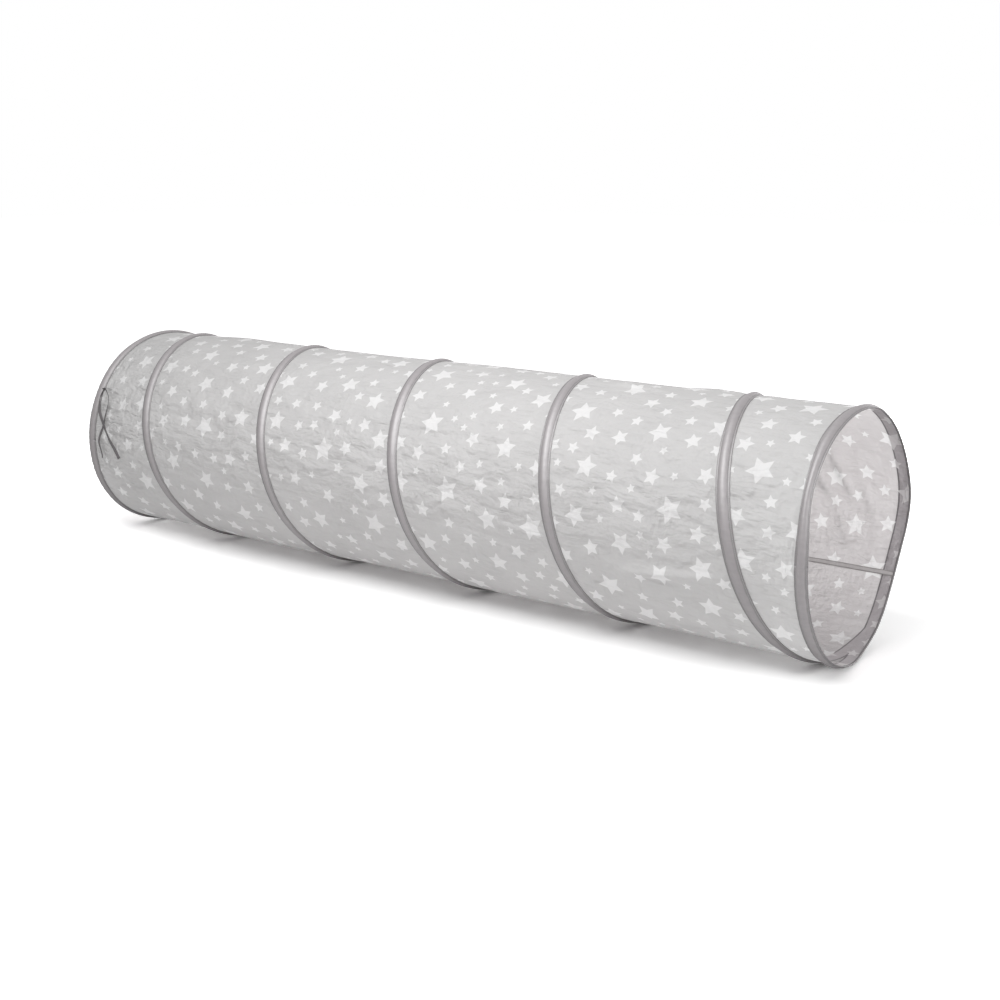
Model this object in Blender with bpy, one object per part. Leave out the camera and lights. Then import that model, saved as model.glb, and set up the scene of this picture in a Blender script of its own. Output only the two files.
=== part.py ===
"""Pop-up play tunnel for children: a cloth tube held open by one coiled spring wire.

The tunnel lies on its side along X, with its near mouth at +X, its near side at -Y and the floor
at Z = 0. Angles go round the tunnel from the middle of the near side, up over the top and down
the far side, and keep counting from turn to turn. Depths count inwards from the widest line of
the tunnel, the roof of the wire channel. All lengths are in metres.
"""
import math

import bmesh
import bpy
from mathutils import Vector

# The whole tunnel
tunnel_length = 1.80
tunnel_width = 0.479
tunnel_height = 0.461
fit_gap = 0.0003

# The spring wire, a coil that starts and ends in a closed hoop
wire_diameter = 0.0025
lap_gap = 0.0006
straights_per_turn = 24
coil_turns = 4.874
leave_angle = -117.7
measured_points_per_straight = 6

# The sleeves that clamp each free end of the wire to its hoop
sleeve_wall = 0.0005
sleeve_length = 0.030
sleeve_round_points = 6

# The channel tape, which is also the binding of both mouths
tape_width = 0.0245
tape_thickness = 0.0006
channel_roof_width = 0.0112
channel_foot_width = 0.016

# The cloth and its one lengthwise seam
cloth_thickness = 0.0008
cloth_neck = 0.002
free_cloth_shares = (0.0, 0.25, 0.5, 0.75, 1.0)
margin_limit_share = 0.8
seam_angle = 211.0
seam_width = 0.010
seam_thickness = 0.0006

# The tie ribbon, sewn on at its middle; its route gives distance from the far mouth and height
ribbon_width = 0.007
ribbon_thickness = 0.0008
points_per_ribbon_span = 4
lower_ribbon_route = (
    (0.0232, 0.3440), (0.0340, 0.3465), (0.0490, 0.3400), (0.0600, 0.3280), (0.0638, 0.3110),
    (0.0625, 0.2880), (0.0594, 0.2670), (0.0487, 0.2430), (0.0446, 0.2300), (0.0480, 0.2160),
    (0.0525, 0.2050), (0.0535, 0.1930),
)
upper_ribbon_route = (
    (0.0250, 0.3450), (0.0262, 0.3370), (0.0317, 0.3260), (0.0383, 0.3140), (0.0430, 0.3010),
    (0.0500, 0.2900), (0.0616, 0.2742), (0.0743, 0.2551), (0.0865, 0.2380), (0.1020, 0.2200),
    (0.1165, 0.1995),
)

# Sizes that follow from the ones above
step_angle = 360.0 / straights_per_turn
flat_share = math.cos(math.radians(step_angle / 2))
half_width = tunnel_width / 2 / flat_share
half_height = tunnel_height / 2 / flat_share
axis_height = tunnel_height / 2
near_mouth = tunnel_length / 2
far_mouth = -near_mouth
near_hoop = near_mouth - tape_width / 2
far_hoop = far_mouth + tape_width / 2
pitch = (near_hoop - far_hoop) / coil_turns
arrive_angle = leave_angle + 360.0 * coil_turns
girth = math.pi * (half_width + half_height)
half_tape = tape_width / 2 * math.hypot(pitch, girth) / girth
half_cut = math.degrees(fit_gap / 2 / half_height)
wire_lap = wire_diameter + lap_gap
sleeve_half = wire_diameter / 2 + fit_gap + sleeve_wall
wire_depth = tape_thickness + fit_gap + sleeve_half
cloth_depth = wire_depth + sleeve_half + fit_gap
flange_depth = cloth_depth - fit_gap - tape_thickness
seam_depth = cloth_depth + cloth_thickness + fit_gap
ribbon_depth = flange_depth - fit_gap - ribbon_thickness


def place(angle, x, depth):
    """The point at an angle round the many-sided tunnel, a place along it and a depth inside it."""
    from_flat_middle = math.radians(angle - step_angle * round(angle / step_angle))
    reach = flat_share / math.cos(from_flat_middle)
    turn = math.radians(angle)
    y = -(half_width - depth) * reach * math.cos(turn)
    z = axis_height + (half_height - depth) * reach * math.sin(turn)
    return Vector((x, y, z))


def coil_place(angle):
    """Where the coil's line is along the tunnel, held in the hoops' planes past its ends."""
    x = near_hoop - pitch * (angle - leave_angle) / 360.0
    return min(near_hoop, max(far_hoop, x))


def wire_place(angle):
    """As coil_place, with each free end lapped beside the wire that it is clamped to."""
    if angle < leave_angle and coil_place(angle + 360.0) > near_hoop - wire_lap:
        return near_hoop + wire_lap
    if angle > arrive_angle and coil_place(angle - 360.0) < far_hoop + wire_lap:
        return far_hoop - wire_lap
    return coil_place(angle)


def corner_after(angle):
    """The first corner of the many-sided tunnel at or after an angle."""
    count = math.ceil((angle - step_angle / 2) / step_angle)
    return step_angle / 2 + count * step_angle


def corner_before(angle):
    """The last corner of the many-sided tunnel at or before an angle."""
    count = math.floor((angle - step_angle / 2) / step_angle)
    return step_angle / 2 + count * step_angle


def corners(first, last):
    """The angles first and last, with every corner between them."""
    count = round((corner_before(last) - corner_after(first)) / step_angle)
    inner = [corner_after(first) + index * step_angle for index in range(count + 1)]
    return [first] + [angle for angle in inner if first < angle < last] + [last]


def make_material(name, colour, roughness, metallic=0.0):
    material = bpy.data.materials.new(name)
    material.use_nodes = True
    shader = material.node_tree.nodes["Principled BSDF"]
    shader.inputs["Base Color"].default_value = (*colour, 1.0)
    shader.inputs["Roughness"].default_value = roughness
    shader.inputs["Metallic"].default_value = metallic
    return material


def cloth_material():
    return make_material("printed_cloth", (0.56, 0.55, 0.54), 0.75)


def tape_material():
    return make_material("grey_tape", (0.26, 0.25, 0.25), 0.8)


def ribbon_material():
    return make_material("grey_ribbon", (0.17, 0.16, 0.16), 0.7)


def wire_material():
    return make_material("spring_steel", (0.42, 0.43, 0.45), 0.35, 1.0)


def make_carrier(name, x):
    """An empty on the tunnel's axis, on which everything that slides together is placed."""
    carrier = bpy.data.objects.new(name, None)
    carrier.location = (x, 0.0, axis_height)
    bpy.context.collection.objects.link(carrier)
    return carrier


def make_strip(name, rows, thickness, material, carrier, closed=False, left_out=()):
    """A strip through rows of points, made solid by a thickness on its inner side.

    left_out lists the faces that are open, each by its row and its place in the row.
    """
    origin = Vector(carrier.location)
    bm = bmesh.new()
    verts = [[bm.verts.new(point - origin) for point in row] for row in rows]
    pairs = list(zip(verts, verts[1:]))
    if closed:
        pairs.append((verts[-1], verts[0]))
    for row_index, (row, following) in enumerate(pairs):
        for index in range(len(row) - 1):
            if (row_index, index) not in left_out:
                bm.faces.new((row[index], row[index + 1], following[index + 1], following[index]))
    mesh = bpy.data.meshes.new(name)
    bm.to_mesh(mesh)
    bm.free()
    mesh.shade_smooth()
    mesh.materials.append(material)
    strip = bpy.data.objects.new(name, mesh)
    strip.parent = carrier
    bpy.context.collection.objects.link(strip)
    solidify = strip.modifiers.new("thickness", "SOLIDIFY")
    solidify.thickness = thickness
    solidify.offset = -1.0
    solidify.use_even_offset = True
    return strip


def channel_section(half):
    """Section of the tape from edge to edge: flange, wall, roof over the wire, wall, flange."""
    foot = channel_foot_width / 2
    roof = channel_roof_width / 2
    return ((-half, flange_depth), (-foot, flange_depth), (-roof, 0.0),
            (roof, 0.0), (foot, flange_depth), (half, flange_depth))


def make_binding(name, hoop, inner_faces, window, material, carrier):
    """The channel tape round a mouth, its inner faces left out where the wire goes to the coil."""
    first = corner_after(0.0)
    angles = [first + index * step_angle for index in range(straights_per_turn)]
    rows = [[place(angle, hoop + x, depth) for x, depth in channel_section(tape_width / 2)]
            for angle in angles]
    start, end = window
    left_out = [(index, face) for index, angle in enumerate(angles) for face in inner_faces
                if (angle + step_angle / 2 - start) % 360.0 < end - start]
    make_strip(name, rows, tape_thickness, material, carrier, closed=True, left_out=left_out)


def make_tape(name, first, last, material, carrier):
    """A stretch of the channel tape along the coil."""
    angles = corners(first, last)
    rows = [[place(angle, coil_place(angle) + x, depth) for x, depth in channel_section(half_tape)]
            for angle in angles]
    return make_strip(name, rows, tape_thickness, material, carrier)


def cloth_line(low, high, low_margin, high_margin):
    """Places and depths across the cloth, which draws in between the tapes on its margins."""
    squeeze = min(1.0, margin_limit_share * (high - low) / (low_margin + high_margin))
    start = low + low_margin * squeeze
    free = high - high_margin * squeeze - start
    neck = cloth_neck * min(1.0, free / (pitch - 2 * half_tape)) ** 2
    line = [(low, 0.0)]
    line += [(start + free * share, neck * 4 * share * (1 - share)) for share in free_cloth_shares]
    return line + [(high, 0.0)]


def make_cloth(name, first, last, edges, margins, material, carrier):
    """A turn of cloth between two edges, each a function of the angle."""
    rows = []
    for angle in corners(first + half_cut, last - half_cut):
        low = edges[0](angle)
        high = edges[1](angle)
        rows.append([place(angle, x, cloth_depth + depth)
                     for x, depth in cloth_line(low, high, *margins)])
    return make_strip(name, rows, cloth_thickness, material, carrier)


def make_seam(name, low, high, margins, material, carrier):
    """The narrow tape that binds the lengthwise seam, on the inside of the cloth."""
    half_turn = math.degrees(seam_width / 2 / half_height)
    rows = []
    for angle in (seam_angle - half_turn, seam_angle, seam_angle + half_turn):
        rows.append([place(angle, x, seam_depth + depth)
                     for x, depth in cloth_line(low, high, *margins)])
    return make_strip(name, rows, seam_thickness, material, carrier)


def make_wire(first, last, material, carrier):
    """The spring wire in one unbroken length: near hoop, coil, far hoop."""
    points = [place(angle, wire_place(angle), wire_depth) for angle in corners(first, last)]
    curve = bpy.data.curves.new("spring_wire", "CURVE")
    curve.dimensions = "3D"
    curve.bevel_depth = wire_diameter / 2
    curve.bevel_resolution = 1
    curve.use_fill_caps = True
    curve.materials.append(material)
    spline = curve.splines.new("POLY")
    spline.points.add(len(points) - 1)
    origin = Vector(carrier.location)
    for target, point in zip(spline.points, points):
        target.co = (*(point - origin), 1.0)
    wire = bpy.data.objects.new("spring_wire", curve)
    wire.parent = carrier
    bpy.context.collection.objects.link(wire)
    report_wire_gap(points)


def report_wire_gap(points):
    """Prints the least gap between the wire and the parts of itself that pass near it."""
    samples = []
    for start, end in zip(points, points[1:]):
        for index in range(measured_points_per_straight):
            samples.append(start.lerp(end, index / measured_points_per_straight))
    samples.append(points[-1])
    apart = measured_points_per_straight * straights_per_turn // 2
    least = min((samples[one] - samples[other]).length
                for one in range(len(samples))
                for other in range(one + apart, len(samples)))
    print("least gap of the wire to itself, mm:", round((least - wire_diameter) * 1000, 2))


def make_sleeve(name, middle, hoop, side, material, carrier):
    """A flattened steel tube round the two lengths of wire that lie side by side."""
    start = place(middle - step_angle / 2, hoop, wire_depth)
    end = place(middle + step_angle / 2, hoop, wire_depth)
    along = (end - start).normalized()
    across = Vector((side, 0.0, 0.0))
    outwards = across.cross(along)
    if outwards.dot(start - Vector((start.x, 0.0, axis_height))) < 0:
        outwards = -outwards
    centre = (start + end) / 2
    rows = []
    for index in range(2 * sleeve_round_points):
        round_lap = index < sleeve_round_points
        share = (index % sleeve_round_points) / (sleeve_round_points - 1)
        turn = math.pi * (share - 0.5) + (0.0 if round_lap else math.pi)
        wire_middle = centre + across * (wire_lap if round_lap else 0.0)
        edge = wire_middle + (across * math.cos(turn) + outwards * math.sin(turn)) * sleeve_half
        rows.append([edge + along * sleeve_length / 2, edge - along * sleeve_length / 2])
    if across.cross(outwards).dot(along) < 0:
        rows = [row[::-1] for row in rows]
    return make_strip(name, rows, sleeve_wall, material, carrier, closed=True)


def smooth_route(route, spans):
    """A smooth curve through a route's points, with a few points to each span."""
    ends = [2 * Vector(route[0]) - Vector(route[1]), 2 * Vector(route[-1]) - Vector(route[-2])]
    nodes = [ends[0]] + [Vector(point) for point in route] + [ends[1]]
    line = []
    for index in range(1, len(nodes) - 2):
        before, start, end, after = nodes[index - 1:index + 3]
        for step in range(spans):
            t = step / spans
            line.append(0.5 * (2 * start + (end - before) * t
                               + (2 * before - 5 * start + 4 * end - after) * t ** 2
                               + (3 * start - before - 3 * end + after) * t ** 3))
    return line + [nodes[-2]]


def ribbon_point(flat, depth):
    """Lays a point of the ribbon's route on the near side, hanging plumb below its middle."""
    x = far_mouth + flat.x
    y = place(step_angle / 2, x, depth).y
    for index in range(straights_per_turn // 4):
        start = place(step_angle * (index + 0.5), x, depth)
        end = place(step_angle * (index + 1.5), x, depth)
        if start.z < flat.y <= end.z:
            y = start.lerp(end, (flat.y - start.z) / (end.z - start.z)).y
    return Vector((x, y, flat.y))


def make_ribbon(name, route, depth, material, carrier):
    """One hanging half of the tie ribbon."""
    line = smooth_route(route, points_per_ribbon_span)
    rows = []
    for index, flat in enumerate(line):
        along = (line[min(index + 1, len(line) - 1)] - line[max(index - 1, 0)]).normalized()
        across = Vector((-along.y, along.x)) * ribbon_width / 2
        rows.append([ribbon_point(flat + across, depth), ribbon_point(flat - across, depth)])
    length = sum((ribbon_point(two, depth) - ribbon_point(one, depth)).length
                 for one, two in zip(line, line[1:]))
    print(name, "length, m:", round(length, 3))
    return make_strip(name, rows, ribbon_thickness, material, carrier)


def build_tunnel():
    for old in list(bpy.data.objects):
        bpy.data.objects.remove(old)
    cloth = cloth_material()
    tape = tape_material()
    ribbon = ribbon_material()
    steel = wire_material()
    near_end = make_carrier("near_end", near_hoop)
    far_end = make_carrier("far_end", far_hoop)

    # The wire, with its free ends lapped over one straight and sleeved there
    near_corner = corner_before(leave_angle)
    far_corner = corner_after(arrive_angle)
    make_wire(near_corner - step_angle - 360.0, far_corner + step_angle + 360.0, steel, near_end)
    make_sleeve("near_wire_sleeve", near_corner - step_angle / 2, near_hoop, 1.0, steel, near_end)
    make_sleeve("far_wire_sleeve", far_corner + step_angle / 2, far_hoop, -1.0, steel, far_end)

    # The bindings, each open where the wire and the first of the tape cross its inner edge
    crossing = 360.0 * (half_tape + tape_width / 2 + fit_gap) / pitch
    near_window = (near_corner, corner_after(leave_angle + crossing))
    far_window = (corner_before(arrive_angle - crossing), far_corner)
    make_binding("near_end_binding", near_hoop, (0, 1), near_window, tape, near_end)
    make_binding("far_end_binding", far_hoop, (3, 4), far_window, tape, far_end)

    # The tape along the coil, one stretch a turn, parted where it passes the seam
    start_run = 360.0 * (half_tape + channel_roof_width / 2 + fit_gap) / pitch
    tape_start = corner_after(leave_angle + start_run)
    tape_end = corner_before(arrive_angle - start_run)
    turn_count = math.ceil((tape_end - seam_angle) / 360.0)
    seams = [seam_angle + 360.0 * index for index in range(turn_count)]
    starts = [tape_start] + [angle + half_cut for angle in seams]
    ends = [angle - half_cut for angle in seams] + [tape_end]
    carriers = []
    for index, (first, last) in enumerate(zip(starts, ends)):
        carrier = make_carrier(f"turn_{index + 1}", coil_place((first + last) / 2))
        make_tape(f"coil_tape_{index + 1}", first, last, tape, carrier)
        carriers.append(carrier)

    # The cloth, one panel a turn, parted under the tape and at the seam
    under_tape = half_tape + fit_gap
    under_binding = tape_width + fit_gap
    make_cloth("cloth_panel_near", seams[0] - 360.0, seams[0],
               (lambda angle: coil_place(angle) + fit_gap / 2, lambda angle: near_mouth),
               (under_tape, under_binding), cloth, near_end)
    for index, angle in enumerate(seams):
        make_cloth(f"cloth_panel_{index + 1}", angle, angle + 360.0,
                   (lambda angle: coil_place(angle) + fit_gap / 2,
                    lambda angle: coil_place(angle - 360.0) - fit_gap / 2),
                   (under_tape, under_tape), cloth, carriers[index])
    make_cloth("cloth_panel_far", seams[-1], seams[-1] + 360.0,
               (lambda angle: far_mouth, lambda angle: coil_place(angle) - fit_gap / 2),
               (under_binding, under_tape), cloth, far_end)

    # The seam's tape, in one length for each panel
    parts = [near_mouth] + [coil_place(angle) for angle in seams] + [far_mouth]
    holders = [near_end] + carriers[:len(seams) - 1] + [far_end]
    for index, holder in enumerate(holders):
        first_cut = fit_gap / 2 if index else 0.0
        last_cut = fit_gap / 2 if index < len(seams) else 0.0
        margins = (under_tape if index < len(seams) else under_binding,
                   under_tape if index else under_binding)
        make_seam(f"seam_tape_{index + 1}", parts[index + 1] + last_cut, parts[index] - first_cut,
                  margins, tape, holder)

    # The tie ribbon, its upper half lying over the lower one
    make_ribbon("tie_ribbon_lower", lower_ribbon_route, ribbon_depth, ribbon, far_end)
    make_ribbon("tie_ribbon_upper", upper_ribbon_route,
                ribbon_depth - ribbon_thickness - fit_gap, ribbon, far_end)


build_tunnel()
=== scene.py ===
import math
from functools import partial

import bpy
import numpy as np
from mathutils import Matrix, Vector


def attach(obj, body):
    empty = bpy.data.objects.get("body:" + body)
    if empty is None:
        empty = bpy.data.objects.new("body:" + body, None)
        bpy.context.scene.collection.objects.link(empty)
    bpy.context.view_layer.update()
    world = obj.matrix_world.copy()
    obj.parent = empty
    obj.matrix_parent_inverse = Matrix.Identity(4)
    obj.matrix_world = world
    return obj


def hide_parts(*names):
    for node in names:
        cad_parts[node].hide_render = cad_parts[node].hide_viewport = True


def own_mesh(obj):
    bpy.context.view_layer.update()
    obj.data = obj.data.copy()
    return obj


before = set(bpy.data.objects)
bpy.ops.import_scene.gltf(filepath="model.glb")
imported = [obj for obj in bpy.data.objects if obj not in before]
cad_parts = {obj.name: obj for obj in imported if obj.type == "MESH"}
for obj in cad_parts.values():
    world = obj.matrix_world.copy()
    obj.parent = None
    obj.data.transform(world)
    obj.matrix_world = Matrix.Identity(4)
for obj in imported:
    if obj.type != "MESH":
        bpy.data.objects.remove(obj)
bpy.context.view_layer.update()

# The tunnel lies along X with its near mouth at +X. Angles go round it in degrees, from the
# middle of the near side up over the top; depths go inwards from the top of the wire's pocket.
tunnel = {
    "length": 1.80,
    "halfWidth": 0.2398,
    "halfHeight": 0.2303,
    "axisHeight": 0.2305,
    "coilTurns": 4.874,
    "leaveAngle": -117.7,
    "tapeWidth": 0.0245,
    "flangeDepth": 0.0044,
    "clothDepth": 0.0053,
    "wireDepth": 0.00295,
    "seamAngle": 211.0,
}
nearMouth = tunnel["length"] / 2
nearHoop = nearMouth - tunnel["tapeWidth"] / 2
bindingEdge = nearMouth - tunnel["tapeWidth"]
pitch = 2 * nearHoop / tunnel["coilTurns"]
arriveAngle = tunnel["leaveAngle"] + 360 * tunnel["coilTurns"]
girth = math.pi * (tunnel["halfWidth"] + tunnel["halfHeight"] - 2 * tunnel["clothDepth"])
metresPerDegree = girth / 360
halfTape = tunnel["tapeWidth"] / 2 * math.hypot(pitch, girth) / girth

# The spring holds neither mouth quite flat. Each pair is an angle round the mouth and how far
# along X the mouth stands out there, or how much narrower its binding is there.
mouthLean = {
    "near": ((-60, 0.016), (-35, 0.017), (3, 0.016), (11, 0.014), (19, 0.009), (28, 0.003),
             (45, 0.001), (55, 0.0), (106, 0.0), (112, -0.007), (135, -0.007), (150, -0.006),
             (172, -0.002), (186, -0.006), (200, -0.012), (216, -0.012), (232, -0.007), (245, -0.002),
             (255, -0.001), (264, 0.005), (276, 0.012)),
    "nearNarrowing": ((5, 0.0), (19, 0.005), (28, 0.008), (37, 0.006), (45, 0.004), (55, 0.0)),
    "far": ((60, 0.0), (40, 0.003), (27, 0.005), (12, 0.003), (-12, -0.001), (-24, -0.006),
            (-36, -0.009), (-48, -0.013), (-60, -0.013), (-90, -0.008), (-150, 0.0)),
    "reach": 0.20,
}

# The tape's pocket over the wire. Rows are distances from the tape's middle; the groove and the
# turned edge each have a width and a height; the ripple fades in between two distances.
tapePocket = {
    "stitchRow": 0.0098,
    "roundness": 1.15,
    "groove": (0.0006, 0.00025),
    "edgeRow": 0.0114,
    "turnedEdge": (0.0008, 0.00045),
    "ripple": 0.0004,
    "rippleFrom": (0.006, 0.0118),
    "rippleLength": (0.010, 0.024),
    "thickness": 0.0006,
}

joinReach = 0.00002    # points of one piece that are nearer than this are joined

camera = {"place": (1.913, -2.376, 0.888), "turn": 37.07, "tilt": 13.28, "lens": 53.75}
bpy.ops.object.select_all(action="DESELECT")
cameraTurn = (math.radians(90 - camera["tilt"]), 0, math.radians(camera["turn"]))
bpy.ops.object.camera_add(location=camera["place"], rotation=cameraTurn)
bpy.context.object.data.lens = camera["lens"]
bpy.context.scene.camera = bpy.context.object
bpy.context.scene.view_settings.view_transform = "Standard"
print("camera placed")


def smooth(low, high, value):
    share = np.clip((value - low) / (high - low), 0, 1)
    return share * share * (3 - 2 * share)


def waves(along, seed, shortest, longest, count=9):
    # an even, repeatable waviness between about -1 and 1
    draw = np.random.RandomState(seed)
    total = np.zeros_like(along, dtype=float)
    for _ in range(count):
        total += np.sin(2 * np.pi * along / draw.uniform(shortest, longest) + draw.uniform(0, 6.3))
    return total / count ** 0.5 / 1.6


def coilX(angle):
    x = nearHoop - pitch * (angle - tunnel["leaveAngle"]) / 360
    return np.clip(x, -nearHoop, nearHoop)


def leanAt(mouth, angle):
    angles, shifts = zip(*mouthLean[mouth])
    nearby = (-6, -3, 0, 3, 6)
    return sum(np.interp(angle + step, angles, shifts, period=360) for step in nearby) / len(nearby)


def onTunnel(angle, x, depth):
    turn = np.radians(angle)
    inBand = np.clip((nearMouth - x) / tunnel["tapeWidth"], 0, 1)
    near = leanAt("near", angle) + inBand * leanAt("nearNarrowing", angle)
    x = x + near * smooth(nearMouth - mouthLean["reach"], bindingEdge, x)
    x = x + leanAt("far", angle) * smooth(mouthLean["reach"] - nearMouth, -bindingEdge, x)
    y = -(tunnel["halfWidth"] - depth) * np.cos(turn)
    z = tunnel["axisHeight"] + (tunnel["halfHeight"] - depth) * np.sin(turn)
    return np.stack([x + 0 * angle, y, z], axis=1)


def pocket(distance):
    # how far the tape stands up over the wire, with the stitched groove and the turned edge
    away = np.abs(distance)
    grooveWidth, grooveDepth = tapePocket["groove"]
    edgeWidth, edgeHeight = tapePocket["turnedEdge"]
    dome = np.clip(1 - (away / tapePocket["stitchRow"]) ** 2, 0, 1) ** tapePocket["roundness"]
    groove = grooveDepth * np.exp(-((away - tapePocket["stitchRow"]) / grooveWidth) ** 2)
    turnedEdge = edgeHeight * np.exp(-((away - tapePocket["edgeRow"]) / edgeWidth) ** 2)
    return tunnel["flangeDepth"] * dome + turnedEdge - groove


def edgeRipple(distance, arc, seed):
    # the tape's edges, drawn up unevenly by their stitches
    edge = smooth(*tapePocket["rippleFrom"], np.abs(distance))
    return edge * tapePocket["ripple"] * waves(arc, seed, *tapePocket["rippleLength"], 10)


def joinEdges():
    bpy.ops.object.mode_set(mode="EDIT")
    bpy.ops.mesh.select_all(action="SELECT")
    bpy.ops.mesh.remove_doubles(threshold=joinReach)
    bpy.ops.object.mode_set(mode="OBJECT")


def flatStrip(name, cells, lay, join=False, flip=False):
    # a flat grid, cut as cloth is, whose flat place (0 to 1 both ways) is laid by a function
    bpy.ops.object.select_all(action="DESELECT")
    bpy.ops.mesh.primitive_grid_add(x_subdivisions=cells[0], y_subdivisions=cells[1], size=1)
    piece = bpy.context.object
    piece.name = name
    mesh = piece.data
    flat = np.empty(len(mesh.vertices) * 3)
    mesh.vertices.foreach_get("co", flat)
    flat = flat.reshape(-1, 3)[:, :2] + 0.5
    if not flip:
        flat[:, 1] = 1 - flat[:, 1]
    places, cut = lay(flat[:, 0], flat[:, 1])
    mesh.vertices.foreach_set("co", places.ravel())
    corner = np.empty(len(mesh.loops), dtype=int)
    mesh.loops.foreach_get("vertex_index", corner)
    layer = mesh.uv_layers[0]
    layer.name = "cut"
    layer.data.foreach_set("uv", cut[corner].ravel())
    if join:
        joinEdges()
    bpy.ops.object.shade_smooth()
    return piece


def addThickness(piece, thickness):
    bpy.context.view_layer.objects.active = piece
    bpy.ops.object.modifier_add(type="SOLIDIFY")
    solidify = piece.modifiers[-1]
    solidify.thickness = thickness
    solidify.offset = -1
    bpy.ops.object.modifier_apply(modifier=solidify.name)


def dress(piece, material, body):
    piece.data.materials.clear()
    piece.data.materials.append(material)
    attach(piece, body)


def packMouth(piece):
    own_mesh(piece)


def packTube(piece):
    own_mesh(piece)


def mathNode(tree, operation, *values):
    node = tree.nodes.new("ShaderNodeMath")
    node.operation = operation
    for socket, value in zip(node.inputs, values):
        if isinstance(value, (int, float)):
            socket.default_value = value
        else:
            tree.links.new(value, socket)
    return node.outputs[0]


def newGroup(name, numbers, outputs):
    # a node group that is given a vector and some numbers
    group = bpy.data.node_groups.new(name, "ShaderNodeTree")
    sockets = group.interface
    sockets.new_socket("Vector", in_out="INPUT", socket_type="NodeSocketVector")
    for label, value in numbers.items():
        sockets.new_socket(label, in_out="INPUT", socket_type="NodeSocketFloat").default_value = value
    for label in outputs:
        sockets.new_socket(label, in_out="OUTPUT", socket_type="NodeSocketFloat")
    given, result = group.nodes.new("NodeGroupInput"), group.nodes.new("NodeGroupOutput")
    return group, given.outputs, result.inputs, partial(mathNode, group)


def rangeNode(tree, value, fromLow, fromHigh, toLow, toHigh, kind="SMOOTHSTEP"):
    node = tree.nodes.new("ShaderNodeMapRange")
    node.interpolation_type = kind
    tree.links.new(value, node.inputs["Value"])
    for label, number in zip(("From Min", "From Max", "To Min", "To Max"), (fromLow, fromHigh, toLow, toHigh)):
        node.inputs[label].default_value = number
    return node.outputs["Result"]


def mixColour(tree, share, one, two, blend="MIX"):
    node = tree.nodes.new("ShaderNodeMix")
    node.data_type = "RGBA"
    node.blend_type = blend
    for socket, value in ((node.inputs[0], share), (node.inputs[6], one), (node.inputs[7], two)):
        if isinstance(value, tuple):
            socket.default_value = (*value, 1)
        elif isinstance(value, (int, float)):
            socket.default_value = value
        else:
            tree.links.new(value, socket)
    return node.outputs[2]


def mixShaders(tree, share, one, two, output="Material Output"):
    node = tree.nodes.new("ShaderNodeMixShader")
    for socket, value in zip(node.inputs, (share, one, two)):
        tree.links.new(value, socket)
    tree.links.new(node.outputs[0], tree.nodes[output].inputs["Surface"])


def noiseNode(tree, vector, scale, detail, ways="3D", output="Fac"):
    node = tree.nodes.new("ShaderNodeTexNoise")
    node.noise_dimensions = ways
    node.inputs["Scale"].default_value = scale
    node.inputs["Detail"].default_value = detail
    tree.links.new(vector, node.inputs["Vector"])
    return node.outputs[output]


def vectorNode(tree, operation, one, two):
    node = tree.nodes.new("ShaderNodeVectorMath")
    node.operation = operation
    tree.links.new(one, node.inputs[0])
    socket = node.inputs["Scale"] if operation == "SCALE" else node.inputs[1]
    if isinstance(two, (int, float, tuple)):
        socket.default_value = two
    else:
        tree.links.new(two, socket)
    return node.outputs["Value"] if operation == "LENGTH" else node.outputs[0]


def turnVector(tree, vector, degrees):
    node = tree.nodes.new("ShaderNodeVectorRotate")
    node.rotation_type = "Z_AXIS"
    node.inputs["Angle"].default_value = math.radians(degrees)
    tree.links.new(vector, node.inputs["Vector"])
    return node.outputs[0]


def splitVector(tree, vector):
    node = tree.nodes.new("ShaderNodeSeparateXYZ")
    tree.links.new(vector, node.inputs[0])
    return node.outputs[0], node.outputs[1]


def useGroup(tree, group, vector, **values):
    node = tree.nodes.new("ShaderNodeGroup")
    node.node_tree = group
    tree.links.new(vector, node.inputs["Vector"])
    for label, value in values.items():
        node.inputs[label].default_value = value
    return node.outputs


def newMaterial(name, roughness):
    material = bpy.data.materials.new(name)
    material.use_nodes = True
    tree = material.node_tree
    shader = tree.nodes["Principled BSDF"]
    shader.inputs["Roughness"].default_value = roughness
    return material, tree, shader


def uvNode(tree, name):
    node = tree.nodes.new("ShaderNodeUVMap")
    node.uv_map = name
    return node.outputs["UV"]


def objectPoint(tree):
    return tree.nodes.new("ShaderNodeTexCoord").outputs["Object"]


def bumpNode(tree, height, distance, strength=1.0, before=None):
    node = tree.nodes.new("ShaderNodeBump")
    node.inputs["Strength"].default_value = strength
    node.inputs["Distance"].default_value = distance
    tree.links.new(height, node.inputs["Height"])
    if before is not None:
        tree.links.new(before, node.inputs["Normal"])
    return node.outputs["Normal"]


def shades(colour, *factors):
    return [tuple(min(1.0, channel * factor) for channel in colour) for factor in factors]


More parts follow.
